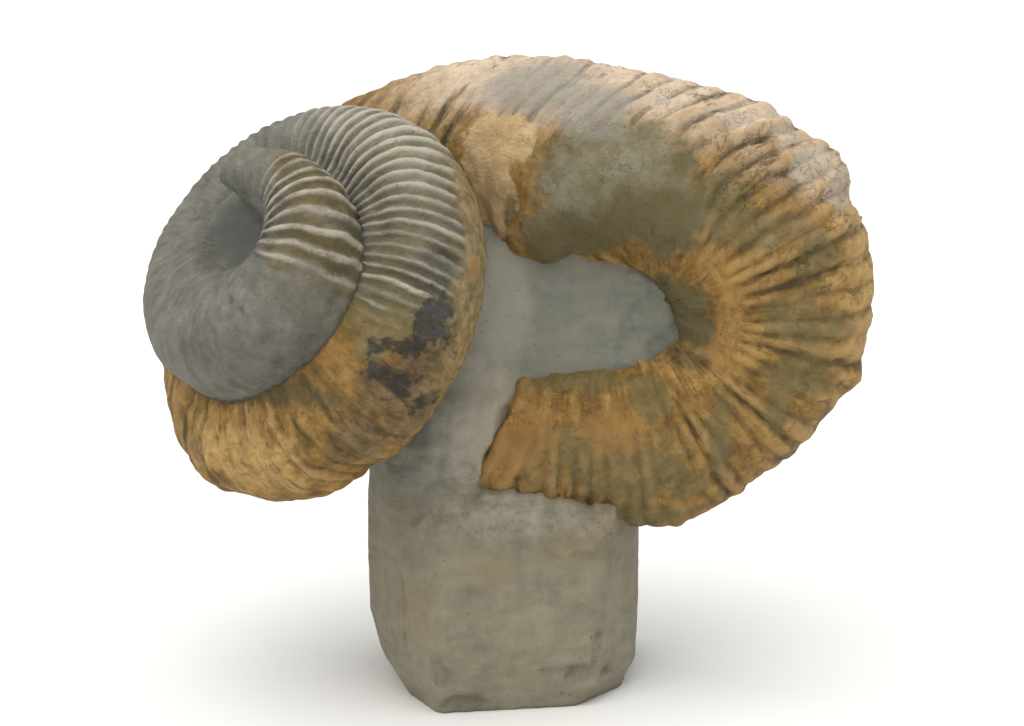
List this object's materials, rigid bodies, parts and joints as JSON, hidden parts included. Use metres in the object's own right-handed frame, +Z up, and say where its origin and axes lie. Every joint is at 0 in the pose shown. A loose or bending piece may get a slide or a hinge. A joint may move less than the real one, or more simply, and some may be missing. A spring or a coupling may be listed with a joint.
{
  "type": "ammonite fossil",
  "caption": "Fossil ammonite with a rising spiral and a wide ribbed hook, standing on the squat pillar of rock it was found in.",
  "frame": {"origin": "on the ground, under the middle of the whole fossil's box", "axes": "+Z up, -Y towards the front, where the spiral faces, +X towards the bend of the hook"},
  "size_m": [0.2152, 0.1447, 0.191],
  "materials": {
    "fossil_shell": "matt to satin",
    "matrix_rock": "matt"
  },
  "bodies": {
    "root": {"ammonite_shell": "fossil_shell", "rock_matrix": "matrix_rock"}
  },
  "joints": []
}
